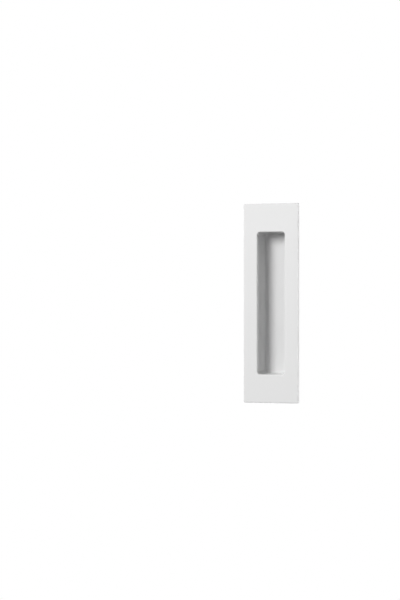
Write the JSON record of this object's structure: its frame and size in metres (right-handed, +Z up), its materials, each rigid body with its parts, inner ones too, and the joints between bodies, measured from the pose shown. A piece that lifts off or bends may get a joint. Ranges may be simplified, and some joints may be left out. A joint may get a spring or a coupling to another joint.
{
  "type": "pocket door flush pull",
  "caption": "Rectangular flush pull for a sliding pocket door: a plain face plate with a long finger recess, snapped over a screwed base that sits in the door's mortise.",
  "frame": {"origin": "middle of the face plate, on the plane of the door's surface that the plate's rim rests on", "axes": "+Z up along the long side, +X to the right seen from the front, +Y into the door"},
  "size_m": [0.0448, 0.0174, 0.15],
  "materials": {
    "white_coat": "satin",
    "dark_nylon": "matte",
    "spring_steel": "satin",
    "plated_steel": "satin"
  },
  "bodies": {
    "root": {"face_cover": "white_coat", "mounting_base": "dark_nylon", "spring_clip_upper_left": "spring_steel", "spring_clip_upper_right": "spring_steel", "spring_clip_lower_left": "spring_steel", "spring_clip_lower_right": "spring_steel", "wood_screw_upper_left": "plated_steel", "wood_screw_upper_right": "plated_steel", "wood_screw_lower_left": "plated_steel", "wood_screw_lower_right": "plated_steel"}
  },
  "joints": []
}
